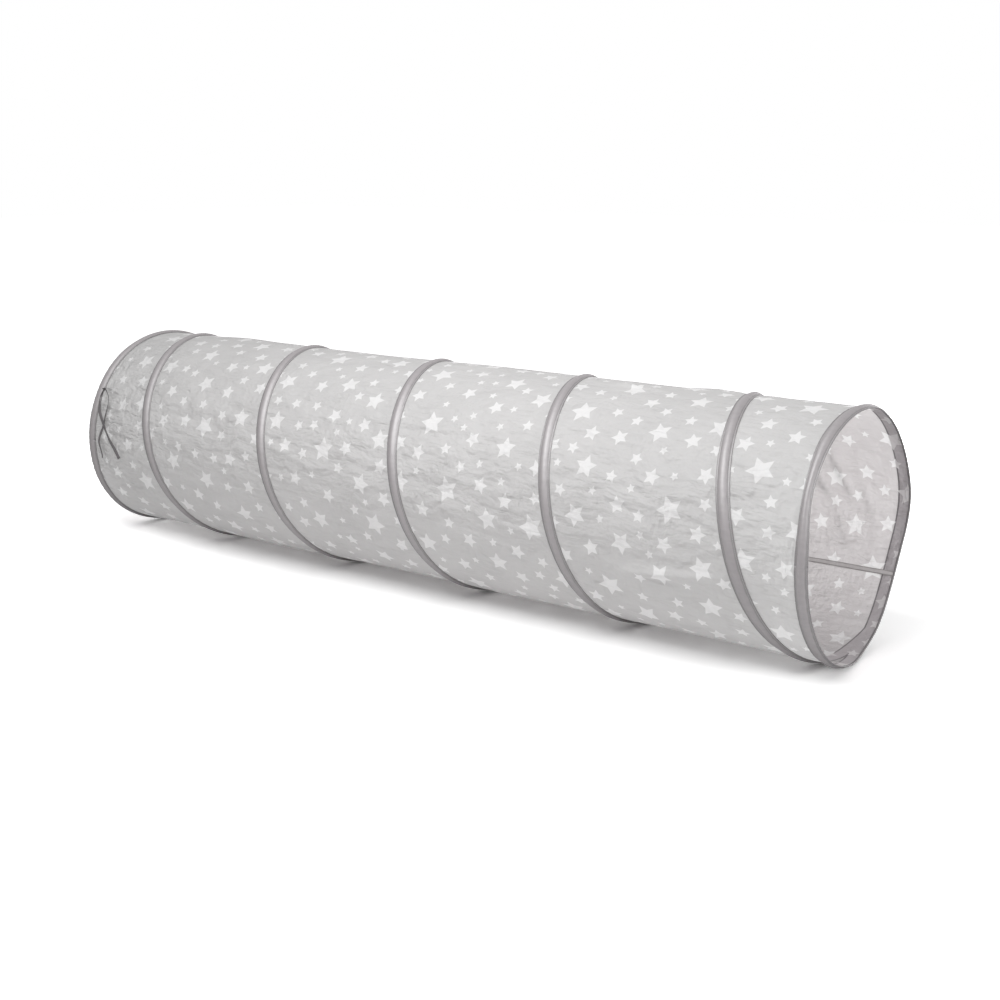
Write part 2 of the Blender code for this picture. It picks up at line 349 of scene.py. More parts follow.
# The tie ribbon, sewn on at its middle, then hanging a little off the cloth. Each half's route gives
# distance from the far mouth and height, as in the CAD, and its turns give how far it is twisted at
# even steps along it.
tieRibbon = {
    "width": 0.007,
    "thickness": 0.0005,
    "spans": 6,
    "cellsAcross": 4,
    # the ribs are painted lighter on their crests and darker between them: painted shade that follows the
    # ribs' bump
    "light": (0.125, 0.116, 0.12),
    "dark": (0.075, 0.07, 0.073),
    "roughness": 0.6,
    "rib": 0.0009,
    "ribHeight": 0.00015,
    "sewnDepth": 0.0030,
    "sewnReach": 0.025,
    "lower": {
        "depth": -0.0018,
        "turns": (-10, -24, -28, -18, -5, -14, -20),
        "route": ((0.0232, 0.3440), (0.0340, 0.3465), (0.0490, 0.3400), (0.0600, 0.3280), (0.0638, 0.3110),
                  (0.0625, 0.2880), (0.0594, 0.2670), (0.0487, 0.2430), (0.0446, 0.2300), (0.0480, 0.2160),
                  (0.0525, 0.2050), (0.0535, 0.1930)),
    },
    "upper": {
        "depth": -0.0042,
        "turns": (-30, -30, 20, 28, 2, -14, 8, 26, 28),
        "route": ((0.0250, 0.3450), (0.0262, 0.3370), (0.0317, 0.3260), (0.0383, 0.3140), (0.0430, 0.3010),
                  (0.0500, 0.2900), (0.0616, 0.2742), (0.0743, 0.2551), (0.0865, 0.2380), (0.1020, 0.2200),
                  (0.1165, 0.1995)),
    },
}


def ribbonMaterial():
    material, tree, shader = newMaterial("greyRibbon", tieRibbon["roughness"])
    calc = partial(mathNode, tree)
    along = splitVector(tree, uvNode(tree, "cut"))[0]
    # painted shade: the colour follows the ribs, lighter on each crest
    rib = calc("SINE", calc("MULTIPLY", along, 2 * math.pi / tieRibbon["rib"]))
    ribShare = calc("MULTIPLY_ADD", rib, 0.5, 0.5)
    colour = mixColour(tree, ribShare, tieRibbon["dark"], tieRibbon["light"])
    tree.links.new(colour, shader.inputs["Base Color"])
    tree.links.new(bumpNode(tree, ribShare, tieRibbon["ribHeight"], 0.6), shader.inputs["Normal"])
    return material


def smoothRoute(route, spans):
    # a smooth curve through the route's points
    points = [Vector(point) for point in route]
    nodes = [2 * points[0] - points[1], *points, 2 * points[-1] - points[-2]]
    line = []
    for before, start, end, after in zip(nodes, nodes[1:], nodes[2:], nodes[3:]):
        for step in range(spans):
            t = step / spans
            bend = (2 * before - 5 * start + 4 * end - after) * t ** 2
            twist = (3 * start - before - 3 * end + after) * t ** 3
            line.append(0.5 * (2 * start + (end - before) * t + bend + twist))
    return [*line, points[-1]]


def ribbonPlace(flat, depth):
    # on the near side, plumb below its middle
    height = max(0.0, (flat.y - tunnel["axisHeight"]) / (tunnel["halfHeight"] - depth))
    y = -(tunnel["halfWidth"] - depth) * math.sqrt(1 - height * height)
    return Vector((-nearMouth + flat.x, y, flat.y))


def hangRibbon(name, hung, node, material):
    line = smoothRoute(hung["route"], tieRibbon["spans"])
    depth, turns = hung["depth"], hung["turns"]
    middles = []
    for flat in line:
        sewn = 1 - float(smooth(0, tieRibbon["sewnReach"], (flat - line[0]).length))
        middles.append(ribbonPlace(flat, depth + (tieRibbon["sewnDepth"] - depth) * sewn))
    lengths = np.cumsum([0] + [(b - a).length for a, b in zip(middles, middles[1:])])
    turned = np.interp(lengths / lengths[-1], np.linspace(0, 1, len(turns)), turns)
    nearSide = Vector((0, -1, 0))
    sides = []
    for index, turn in enumerate(np.radians(turned)):
        along = (middles[min(index + 1, len(line) - 1)] - middles[max(index - 1, 0)]).normalized()
        outwards = (nearSide - along * nearSide.dot(along)).normalized()
        side = along.cross(outwards) * math.cos(turn) + outwards * math.sin(turn)
        sides.append(side * tieRibbon["width"] / 2)

    def lay(u, v):
        index = np.round(u * (len(line) - 1)).astype(int)
        share = 2 * v - 1
        places = np.array([middles[i] + sides[i] * s for i, s in zip(index, share)])
        return places, np.stack([lengths[index], share * tieRibbon["width"] / 2], axis=1)

    half = flatStrip(name, (len(line) - 1, tieRibbon["cellsAcross"]), lay)
    addThickness(half, tieRibbon["thickness"])
    dress(half, material, "far_end")
    packMouth(half)
    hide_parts(node)
    print(name, "length", round(float(lengths[-1]), 3))


ribbon = ribbonMaterial()
hangRibbon("tieRibbonLower", tieRibbon["lower"], "tie_ribbon_lower", ribbon)
hangRibbon("tieRibbonUpper", tieRibbon["upper"], "tie_ribbon_upper", ribbon)
print("ribbon hung")


# The printed cloth
printedCloth = {
    "cells": (390, 252),             # round and along
    "hemCells": (390, 7),
    "end": nearMouth - 0.0022,       # where the cloth ends inside the rolled edge
    "tuck": 0.008,                   # how far the tube goes in between a hem and its binding
    "hemSink": 0.0004,
    # how far each panel draws in, from the near mouth
    "necks": (0.0, 0.0005, -0.0015, 0.001, -0.003, -0.0005),
    "puckers": 0.0010,
    "puckerReach": 0.024,
    "grey": (0.60, 0.597, 0.595),
    "star": (0.80, 0.80, 0.80),
    # the inside is painted lighter than the outside: painted light for the light that shines into the tunnel
    # and through its cloth
    "litInsideGrey": (0.675, 0.65, 0.653),
    "litInsideStar": (0.88, 0.872, 0.874),
    # where a tape lies behind, the inside is painted darker, most at the tape's edges: painted shade of the
    # tape that keeps light from coming through
    "shadedOverTape": (0.465, 0.438, 0.451),
    "shadedOverTapeEdge": (0.21, 0.196, 0.203),
    "shadedStarOverTape": (0.66, 0.64, 0.645),
    "lightThrough": 0.43,
    "deepCrease": 0.004,             # the hollow whose painted shade is darkest
    # how much painted shade the pulled creases get, and how much narrower it is than they are
    "creaseShade": 0.34,
    "creaseNarrow": 0.6,
    "roughness": 0.62,
    "thread": 0.0006,
    # the height and strength of each kind of crease
    "bumps": {"Soft": (0.0125, 0.8), "Sharp": (0.0006, 0.7), "Fine": (0.0052, 0.6)},
}
slackFolds = {
    "seed": 11, "count": 14, "width": (0.012, 0.026), "height": 0.0026, "reach": (0.1, 0.4),
    "slope": 0.06, "bend": 0.05, "slackShare": 0.7, "slackAngle": 4, "slackSpread": 15,
}
smallFolds = {
    "seed": 23, "count": 60, "width": (0.007, 0.012), "height": 0.0009, "reach": (0.05, 0.22),
    "slope": 0.12, "bend": 0.1, "slackShare": 0.5, "slackAngle": 8, "slackSpread": 25,
}
# single creases: the angle and X of each end, the width, and the depth of the hollow
pulledCreases = (
    (21, 0.38, 23, 0.52, 0.008, 0.0016), (23, 0.50, 15, 0.64, 0.009, 0.0015),
    (6, 0.42, 8, 0.55, 0.011, 0.0016), (12, 0.62, 7, 0.76, 0.010, 0.0014),
    (28, 0.00, 28, 0.11, 0.006, 0.0010), (14, 0.21, 10, 0.36, 0.009, 0.0014),
    (1, 0.27, -2, 0.37, 0.008, 0.0012), (27, 0.18, 19, 0.24, 0.004, 0.0008),
    (59, 0.62, 54, 0.70, 0.008, 0.0009), (14, 0.46, 10, 0.60, 0.008, 0.0013),
    (52, -0.90, 74, -0.86, 0.007, 0.0012), (46, -0.89, 58, -0.83, 0.007, 0.0012),
    (-12, -0.72, -10, -0.55, 0.012, 0.0013), (9, -0.10, 7, 0.07, 0.010, 0.0013),
    (19, -0.28, 14, -0.12, 0.010, 0.0013), (22, -0.66, 17, -0.45, 0.012, 0.0012),
    (152, 0.68, 180, 0.74, 0.020, 0.0042), (150, 0.735, 180, 0.79, 0.018, 0.0036),
    (181, 0.65, 202, 0.71, 0.020, 0.0036), (168, 0.80, 190, 0.84, 0.016, 0.0024),
    (184, 0.75, 204, 0.80, 0.017, 0.0026),
)
# where the near side of the slack cloth turns under
underTurn = {"angle": 9, "width": 0.05, "depth": -0.0016}
starPrint = {
    "radii": (0.0268, 0.023, 0.0172, 0.0130, 0.0090),
    "shares": (0.05, 0.16, 0.29, 0.26, 0.24),
    "perSquareMetre": 340,
    "choices": 40,                   # places tried for each star, of which the freest is kept
    "waist": 0.50,
    "seed": 5,
}


def buildStarGroup():
    # one five-pointed star, its tips at radius 1, soft at the edge as a printed one is
    group, given, result, calc = newGroup("starShape", {"Waist": 0.47, "Softness": 0.03}, ["Mask"])
    x, y = splitVector(group, given["Vector"])
    radius = calc("SQRT", calc("ADD", calc("MULTIPLY", x, x), calc("MULTIPLY", y, y)))
    turn = calc("PINGPONG", calc("ARCTAN2", y, x), math.pi / 5)
    px = calc("MULTIPLY", radius, calc("COSINE", turn))
    py = calc("MULTIPLY", radius, calc("SINE", turn))
    # each half of a point has an edge from its tip to the waist
    waistX = calc("MULTIPLY", given["Waist"], math.cos(math.pi / 5))
    waistY = calc("MULTIPLY", given["Waist"], math.sin(math.pi / 5))
    run = calc("SUBTRACT", 1.0, waistX)
    length = calc("SQRT", calc("ADD", calc("MULTIPLY", run, run), calc("MULTIPLY", waistY, waistY)))
    off = calc("ADD", calc("MULTIPLY", waistY, calc("SUBTRACT", px, 1.0)), calc("MULTIPLY", run, py))
    outside = calc("DIVIDE", calc("DIVIDE", off, length), given["Softness"])
    group.links.new(rangeNode(group, outside, -1, 1, 1, 0), result["Mask"])
    return group


def buildTapeGroup():
    # how far each point of the flat cloth is from the middle of the nearest tape
    group, given, result, calc = newGroup("tapeLines", {}, ["Distance"])
    arc, along = splitVector(group, given["Vector"])
    past = calc("MULTIPLY_ADD", arc, 1 / girth, (tunnel["seamAngle"] - 360 - tunnel["leaveAngle"]) / 360)
    x = calc("SUBTRACT", along, nearMouth)
    turns = calc("SUBTRACT", calc("MULTIPLY_ADD", x, -1 / pitch, nearHoop / pitch), past)
    whole = calc("ROUND", turns)
    reached = calc("ADD", past, whole)
    outside = calc("ADD", calc("LESS_THAN", reached, 0.0), calc("GREATER_THAN", reached, tunnel["coilTurns"]))
    coil = calc("MULTIPLY", calc("ABSOLUTE", calc("SUBTRACT", turns, whole)), pitch)
    coil = calc("ADD", coil, outside)
    hoop = calc("ABSOLUTE", calc("SUBTRACT", calc("ABSOLUTE", x), nearHoop))
    group.links.new(calc("MINIMUM", coil, hoop), result["Distance"])
    return group


def buildWeaveGroup():
    # over and under threads of a plain weave
    group, given, result, calc = newGroup("plainWeave", {"Thread": 0.0005}, ["Height"])
    heights = []
    for socket in splitVector(group, given["Vector"]):
        along = calc("DIVIDE", socket, given["Thread"])
        heights.append(calc("SINE", calc("MULTIPLY", along, math.pi)))
    height = calc("MULTIPLY", *heights)
    group.links.new(calc("MULTIPLY_ADD", height, 0.5, 0.5), result["Height"])
    return group


# the soft creases: the turn of each kind, its stretch lengthwise, its scale and its share
softCreases = ((-5, 0.24, 36, 1.0), (22, 0.32, 30, 0.7), (-34, 0.36, 34, 0.5), (80, 0.4, 44, 0.45))


def buildCreaseGroup():
    # creases left in thin cloth that has been packed flat: soft lengthwise ones, sharp ones, and
    # fine crinkles across it, the last two in patches
    group, given, result, calc = newGroup("packedCreases", {"Warp": 0.02}, ["Soft", "Sharp", "Fine"])
    flat = given["Vector"]
    warp = vectorNode(group, "SUBTRACT", noiseNode(group, flat, 11, 2, "2D", "Color"), (0.5, 0.5, 0.5))
    moved = vectorNode(group, "ADD", flat, vectorNode(group, "SCALE", warp, given["Warp"]))
    soft = None
    for turn, stretch, scale, share in softCreases:
        stretched = vectorNode(group, "MULTIPLY", turnVector(group, moved, turn), (1.0, stretch, 1.0))
        level = calc("MULTIPLY", noiseNode(group, stretched, scale, 3, "2D"), share)
        soft = level if soft is None else calc("ADD", soft, level)
    streaks = noiseNode(group, vectorNode(group, "MULTIPLY", moved, (1.0, 0.16, 1.0)), 60, 1, "2D")
    level = calc("ABSOLUTE", calc("SUBTRACT", streaks, 0.5))
    patches = rangeNode(group, noiseNode(group, moved, 12, 1, "2D"), 0.46, 0.62, 0, 1)
    sharp = calc("MULTIPLY", rangeNode(group, level, 0, 0.05, 1, 0), patches)
    crinkle = noiseNode(group, vectorNode(group, "MULTIPLY", moved, (0.3, 1.0, 1.0)), 120, 2, "2D")
    crinkled = rangeNode(group, noiseNode(group, flat, 9, 1, "2D"), 0.48, 0.66, 0.1, 1)
    fine = calc("MULTIPLY", crinkle, crinkled)
    for label, value in (("Soft", soft), ("Sharp", sharp), ("Fine", fine)):
        group.links.new(value, result[label])
    return group


starShape = buildStarGroup()
tapeLines = buildTapeGroup()
plainWeave = buildWeaveGroup()
packedCreases = buildCreaseGroup()


def clothMaterial():
    material, tree, shader = newMaterial("printedCloth", printedCloth["roughness"])
    calc = partial(mathNode, tree)
    cut = uvNode(tree, "cut")
    star = useGroup(tree, starShape, uvNode(tree, "starMap"), Waist=starPrint["waist"])["Mask"]
    creases = useGroup(tree, packedCreases, cut)
    weave = useGroup(tree, plainWeave, cut, Thread=printedCloth["thread"])["Height"]
    tone = rangeNode(tree, noiseNode(tree, cut, 7, 3, "2D"), 0.3, 0.7, 0, 1, "LINEAR")
    grey = mixColour(tree, tone, *shades(printedCloth["grey"], 0.975, 1.02))
    outside = mixColour(tree, star, grey, printedCloth["star"])
    distance = useGroup(tree, tapeLines, cut)["Distance"]
    behind = rangeNode(tree, distance, halfTape - 0.0006, halfTape + 0.0006, 1, 0)
    behindEdge = rangeNode(tree, distance, halfTape - 0.0036, halfTape - 0.0022, 0, 1)
    shadedOverTape = mixColour(tree, behindEdge, printedCloth["shadedOverTape"], printedCloth["shadedOverTapeEdge"])
    # seen from inside, painted light over the whole cloth and painted shade where a tape is behind it
    inGrey = mixColour(tree, behind, printedCloth["litInsideGrey"], shadedOverTape)
    inStar = mixColour(tree, behind, printedCloth["litInsideStar"], printedCloth["shadedStarOverTape"])
    inside = mixColour(tree, star, inGrey, inStar)
    backfacing = tree.nodes.new("ShaderNodeNewGeometry").outputs["Backfacing"]
    colour = mixColour(tree, backfacing, outside, inside)
    # painted shade: the colour is darkened in the sharp creases and along the pulled ones
    paintedCreaseShade = tree.nodes.new("ShaderNodeAttribute")
    paintedCreaseShade.attribute_name = "paintedCreaseShade"
    lit = calc("MULTIPLY_ADD", creases["Sharp"], -0.05, 1.0)
    lit = calc("MULTIPLY_ADD", paintedCreaseShade.outputs["Fac"], -printedCloth["creaseShade"], lit)
    colour = mixColour(tree, 1.0, colour, lit, "MULTIPLY")
    tree.links.new(colour, shader.inputs["Base Color"])
    # most of the slack is at mid-height on both sides, and at the far end
    around, along = splitVector(tree, cut)
    midHeight = math.radians(tunnel["seamAngle"] - 5)
    aroundIt = calc("COSINE", calc("MULTIPLY_ADD", around, 2 * math.pi / girth, midHeight))
    slack = calc("MULTIPLY_ADD", calc("MULTIPLY", aroundIt, aroundIt), 0.7, 0.3)
    slack = calc("MULTIPLY", slack, rangeNode(tree, along, 0.12, 0.35, 1.5, 1))
    normal = None
    for kind, (height, strength) in printedCloth["bumps"].items():
        normal = bumpNode(tree, calc("MULTIPLY", creases[kind], slack), height, strength, normal)
    normal = bumpNode(tree, weave, 0.00006, 0.4, normal)
    tree.links.new(normal, shader.inputs["Normal"])
    through = tree.nodes.new("ShaderNodeBsdfTranslucent")
    tree.links.new(colour, through.inputs["Color"])
    tree.links.new(normal, through.inputs["Normal"])
    # hardly any light comes through where the tape is behind
    blocked = calc("MULTIPLY", behind, backfacing)
    lightThrough = printedCloth["lightThrough"]
    share = calc("MULTIPLY_ADD", blocked, -0.75 * lightThrough, lightThrough)
    mixShaders(tree, share, shader.outputs[0], through.outputs[0])
    return material


def panelOf(angle, x):
    # the stretch of free cloth that a point lies in: its number, its free width, how far across
    # it the point is, and the distances from the tapes on either side, negative under a tape
    past = (angle - tunnel["leaveAngle"]) / 360
    above = np.floor((nearHoop - x) / pitch - past)
    first = np.where(angle >= tunnel["leaveAngle"], 0, 1)
    last = np.floor((arriveAngle - angle) / 360)
    high = np.where(above < first, nearHoop, nearHoop - pitch * (above + past))
    low = np.where(above + 1 > last, -nearHoop, nearHoop - pitch * (above + 1 + past))
    free = high - low - 2 * halfTape
    across = np.clip((high - halfTape - x) / np.maximum(free, 0.001), 0, 1)
    number = np.clip(above + 1 - first + (first == 1), 0, 5).astype(int)
    return number, free, across, x - low - halfTape, high - x - halfTape


def ridge(off, width):
    # 1 in the middle, and half as much half a width away from it
    return 1 / np.cosh(2.6 * off / width)


def foldRelief(folds, number, arc, across):
    # long ridges and hollows along the tunnel, many of them where the near side hangs slack
    draw = np.random.RandomState(folds["seed"])
    relief = np.zeros_like(arc)
    for panel in range(6):
        here = number == panel
        for _ in range(folds["count"]):
            if draw.uniform() < folds["slackShare"]:
                middle = draw.normal(folds["slackAngle"], folds["slackSpread"])
            else:
                middle = tunnel["seamAngle"] - 360 * draw.uniform()
            width, height = draw.uniform(*folds["width"]), draw.normal(0, folds["height"])
            start, reach = draw.uniform(-0.1, 1.1), draw.uniform(*folds["reach"])
            slope, bend = draw.normal(0, folds["slope"]), draw.normal(0, folds["bend"])
            run = across[here] - start
            off = arc[here] - middle * metresPerDegree - slope * run - bend * run ** 2
            relief[here] += height * np.exp(-(run / reach) ** 2) * ridge(off, width)
    return relief


def pulledRelief(arc, x, narrow=1.0):
    relief = np.zeros_like(arc)
    for startAngle, startX, endAngle, endX, width, depth in pulledCreases:
        alongArc, alongX = (endAngle - startAngle) * metresPerDegree, endX - startX
        length = math.hypot(alongArc, alongX)
        offArc, offX = arc - startAngle * metresPerDegree, x - startX
        share = (offArc * alongArc + offX * alongX) / length ** 2
        off = (offX * alongArc - offArc * alongX) / length + 0.06 * length * np.sin(math.pi * share)
        relief += depth * np.exp(-np.abs((share - 0.5) / 0.5) ** 3) * ridge(off, narrow * width)
    return relief


def clothDepthAt(angle, x):
    number, free, across, fromLow, fromHigh = panelOf(angle, x)
    fromTape = np.minimum(fromLow, fromHigh)
    fullness = np.clip(free / (pitch - 2 * halfTape), 0, 1)
    belly = 4 * across * (1 - across)
    arc = angle * metresPerDegree
    neck = np.array(printedCloth["necks"])[number] * fullness ** 1.6 * belly
    relief = foldRelief(slackFolds, number, arc, across) + foldRelief(smallFolds, number, arc, across)
    nearAngle = np.where(angle > 260, angle - 360, angle)
    relief += pulledRelief(nearAngle * metresPerDegree, x)
    turn = (nearAngle - underTurn["angle"]) * metresPerDegree + 0.008 * waves(x, 14, 0.2, 0.5)
    relief += underTurn["depth"] * ridge(turn, underTurn["width"]) * belly ** 0.5
    puckers = printedCloth["puckers"] * np.where(fromLow < fromHigh, 1.0, 0.6)
    fading = np.exp(-np.maximum(fromTape, 0) / printedCloth["puckerReach"])
    relief += puckers * fading * waves(arc + 0.05 * x, 21, 0.011, 0.026, 12)
    relief += 0.0009 * waves(arc + 0.4 * x, 8, 0.05, 0.16) * belly
    return tunnel["clothDepth"] + neck + relief * smooth(0.0, 0.012, fromTape) * fullness ** 0.5


def layCloth(low, high, sink):
    def lay(u, v):
        angle = tunnel["seamAngle"] - 360 + 360 * u
        x = low + (high - low) * v
        places = onTunnel(angle, x, clothDepthAt(angle, x) + sink)
        return places, np.stack([u * girth, x + nearMouth], axis=1)
    return lay


def placeStars():
    # an even scatter of stars of mixed sizes, the large ones placed first
    draw = np.random.RandomState(starPrint["seed"])
    wanted = starPrint["perSquareMetre"] * girth * tunnel["length"]
    stars = np.zeros((0, 4))
    for radius, share in zip(starPrint["radii"], starPrint["shares"]):
        for _ in range(round(share * wanted)):
            tries = draw.uniform((0, 0), (girth, tunnel["length"]), (starPrint["choices"], 2))
            if len(stars):
                off = np.abs(tries[:, None] - stars[None, :, :2])
                off[..., 0] = np.minimum(off[..., 0], girth - off[..., 0])
                room = np.hypot(off[..., 0], off[..., 1]) - stars[:, 2] - radius
                alike = np.abs(stars[:, 2] - radius) < 0.005
                room = np.where(alike, room * 0.6, room).min(axis=1)
                best = tries[room.argmax()]
            else:
                best = tries[0]
            stars = np.vstack([stars, (*best, radius, draw.uniform(0, 2 * math.pi / 5))])
    print(len(stars), "stars placed")
    return stars


def cutPlaces(mesh):
    # where each corner of each face is on the flat cloth
    cut = np.empty(len(mesh.loops) * 2)
    mesh.uv_layers["cut"].data.foreach_get("uv", cut)
    return cut.reshape(-1, 2)


def printStars(piece, stars):
    # gives each face the place of its points within the star that it lies on
    mesh = piece.data
    cut = cutPlaces(mesh).reshape(-1, 4, 2)
    middles = cut.mean(axis=1)
    starMap = np.full_like(cut, 9.0)
    nearest = np.full(len(cut), 9.0)
    for u, v, radius, turn in stars:
        reach = radius + 0.007
        for whole in (-girth, 0, girth):
            on = (np.abs(middles[:, 0] - u - whole) < reach) & (np.abs(middles[:, 1] - v) < reach)
            if not on.any():
                continue
            x, y = np.moveaxis((cut[on] - (u + whole, v)) / radius, -1, 0)
            cosine, sine = math.cos(turn), math.sin(turn)
            turned = np.stack([x * cosine - y * sine, x * sine + y * cosine], axis=-1)
            away = np.hypot(middles[on, 0] - u - whole, middles[on, 1] - v) - radius
            nearer = away < nearest[on]
            chosen = np.where(on)[0][nearer]
            starMap[chosen] = turned[nearer]
            nearest[chosen] = away[nearer]
    layer = mesh.uv_layers.new(name="starMap")
    layer.data.foreach_set("uv", starMap.ravel())


def paintCreaseShade(piece):
    # paints shade into the cloth's colour along its pulled creases, darkest in the deepest hollows
    mesh = piece.data
    arc, along = cutPlaces(mesh).T
    nearArc = arc + (tunnel["seamAngle"] - 360) * metresPerDegree
    hollow = pulledRelief(nearArc, along - nearMouth, printedCloth["creaseNarrow"])
    shadeLayer = mesh.attributes.new("paintedCreaseShade", "FLOAT", "CORNER")
    shadeLayer.data.foreach_set("value", np.clip(hollow / printedCloth["deepCrease"], 0, 1) ** 1.5)


cloth = clothMaterial()
stars = placeStars()
hemEdge = bindingEdge - 0.0003
tuckedEdge = bindingEdge + printedCloth["tuck"]
hemCells, hemEnd, hemSink = (printedCloth[key] for key in ("hemCells", "end", "hemSink"))
clothPieces = []
for name, cells, low, high, sink, body in (
        ("nearHemCloth", hemCells, hemEdge, hemEnd, hemSink, "near_end"),
        ("clothTube", printedCloth["cells"], -tuckedEdge, tuckedEdge, 0.0, "near_end"),
        ("farHemCloth", hemCells, -hemEnd, -hemEdge, hemSink, "far_end")):
    sheet = flatStrip(name, cells, layCloth(low, high, sink))
    printStars(sheet, stars)
    paintCreaseShade(sheet)
    joinEdges()
    dress(sheet, cloth, body)
    clothPieces.append(sheet)
nearHem, clothTube, farHem = clothPieces
packMouth(nearHem)
packTube(clothTube)
packMouth(farHem)
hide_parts("cloth_panel_near")
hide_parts("cloth_panel_1", "cloth_panel_2", "cloth_panel_3", "cloth_panel_4")
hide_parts("cloth_panel_far")
print("cloth tube laid, girth", round(girth, 3))


# The channel tape
tapeFinish = {
    "middle": (0.165, 0.147, 0.154),
    # the wide tape's darker edges: partly its own colour, partly painted shade beside the pocket over the wire
    "edge": (0.078, 0.067, 0.071),
    "roll": (0.072, 0.062, 0.066),   # where a binding turns over at the mouth, and its underside, painted darker: partly painted shade at the rolled edge
    # the outer line of the turned-under edge, darkest of all: partly painted shadow under it
    "shadedLip": (0.05, 0.043, 0.045),
    "seamMiddle": (0.42, 0.40, 0.40),
    "seamEdge": (0.22, 0.205, 0.20),
    "thread": (0.23, 0.22, 0.22),
    "stitch": 0.003,                 # the length of a stitch, and the width of a thread of the weave
    "weave": 0.0007,
    "roughness": 0.55,
    "gloss": 1.0,
    "bend": 1.9,
    # distances from a tape's middle between which each colour comes in
    "edgeAt": (0.0066, 0.0090),
    "rollAt": (0.0112, 0.0118),
    "shadedLipAt": (0.0142, 0.0150),
    "seamEdgeAt": (0.0020, 0.0036),
    "seamRow": 0.0036,
}


def buildStitchGroup():
    # a row of stitches on each side of a tape: X is along the tape, Y is across it from its middle
    group, given, result, calc = newGroup(
        "stitchRows", {"Row": 0.0098, "Stitch": 0.003, "Thread": 0.0004}, ["Mask"])
    along, across = splitVector(group, given["Vector"])
    away = calc("ABSOLUTE", calc("SUBTRACT", calc("ABSOLUTE", across), given["Row"]))
    narrow = rangeNode(group, calc("DIVIDE", away, given["Thread"]), 0.6, 1.2, 1, 0)
    step = calc("FRACT", calc("DIVIDE", along, given["Stitch"]))
    dash = rangeNode(group, calc("ABSOLUTE", calc("SUBTRACT", step, 0.5)), 0.36, 0.44, 1, 0)
    group.links.new(calc("MULTIPLY", narrow, dash), result["Mask"])
    return group


stitchRows = buildStitchGroup()


def tapeMaterial(name, middleColour, edgeColour, row, edgeAt, rolled=False):
    material, tree, shader = newMaterial(name, tapeFinish["roughness"])
    shader.inputs["Specular IOR Level"].default_value = tapeFinish["gloss"]
    shader.inputs["IOR"].default_value = tapeFinish["bend"]
    calc = partial(mathNode, tree)
    cut = uvNode(tree, "cut")
    across = splitVector(tree, cut)[1]
    worn = noiseNode(tree, objectPoint(tree), 70, 3)
    away = calc("ADD", calc("ABSOLUTE", across), calc("MULTIPLY_ADD", worn, 0.0035, -0.00175))
    stretched = vectorNode(tree, "MULTIPLY", cut, (1.0, 0.35, 1.0))
    mottle = rangeNode(tree, noiseNode(tree, stretched, 130, 2, "2D"), 0.3, 0.7, 0, 1)
    middle = mixColour(tree, mottle, *shades(tapeFinish[middleColour], 0.95, 1.05))
    # darker towards the edges; on the wide tapes partly painted shade
    colour = mixColour(tree, rangeNode(tree, away, *edgeAt, 0, 1), middle, tapeFinish[edgeColour])
    # the rolled edge and its outer line get partly painted shade
    if rolled:
        for part in ("roll", "shadedLip"):
            reached = rangeNode(tree, across, *tapeFinish[part + "At"], 0, 1)
            colour = mixColour(tree, reached, colour, tapeFinish[part])
    stitch = useGroup(tree, stitchRows, cut, Row=row, Stitch=tapeFinish["stitch"])["Mask"]
    colour = mixColour(tree, stitch, colour, tapeFinish["thread"])
    tree.links.new(colour, shader.inputs["Base Color"])
    weave = useGroup(tree, plainWeave, cut, Thread=tapeFinish["weave"])["Height"]
    normal = None
    for height, distance, strength in (
            (worn, 0.0016, 0.5), (mottle, 0.0004, 0.3), (weave, 0.0001, 0.5), (stitch, 0.0003, 0.8)):
        normal = bumpNode(tree, height, distance, strength, normal)
    tree.links.new(normal, shader.inputs["Normal"])
    return material


wideTape = ("middle", "edge", tapePocket["stitchRow"], tapeFinish["edgeAt"])
narrowTape = ("seamMiddle", "seamEdge", tapeFinish["seamRow"], tapeFinish["seamEdgeAt"])
tape = tapeMaterial("greyTape", *wideTape)
bindingTape = tapeMaterial("greyBindingTape", *wideTape, rolled=True)
seamBinding = tapeMaterial("greySeamTape", *narrowTape)

# The tape over the coil: how many degrees it starts from the hoop, and how far inside the mouth it
# stays
coilTape = {"cells": (1150, 20), "firstTurned": 11, "stopsAt": 0.004}


def layCoilTape(u, v):
    first = coilTape["firstTurned"]
    angle = tunnel["leaveAngle"] + first + (360 * tunnel["coilTurns"] - 2 * first) * u
    offset = 2 * halfTape * (v - 0.5)
    x = coilX(angle) + offset
    arc = angle * metresPerDegree
    side = np.where(offset > 0, 1.0, 0.6)
    raised = pocket(offset) + side * edgeRipple(offset, arc + 0.3 * np.sign(offset), 31)
    depth = tunnel["flangeDepth"] - raised
    # the ends go in under the bindings
    under = smooth(bindingEdge - 0.001, bindingEdge + 0.002, np.abs(x))
    depth = depth + under * np.maximum(tunnel["flangeDepth"] + 0.0002 - depth, 0) + 0.0004 * under
    reach = nearMouth - coilTape["stopsAt"]
    return onTunnel(angle, np.clip(x, -reach, reach), depth), np.stack([arc, offset], axis=1)


coilStrip = flatStrip("coilTape", coilTape["cells"], layCoilTape)
addThickness(coilStrip, tapePocket["thickness"])
dress(coilStrip, tape, "near_end")
packTube(coilStrip)
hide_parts(*[f"coil_tape_{number}" for number in range(1, 6)])
print("coil tape sewn on")


# The bindings of the two mouths
binding = {"cells": (300, 26), "rollRadius": 0.0012, "turnedUnder": 0.0052, "wireReach": 0.0095}


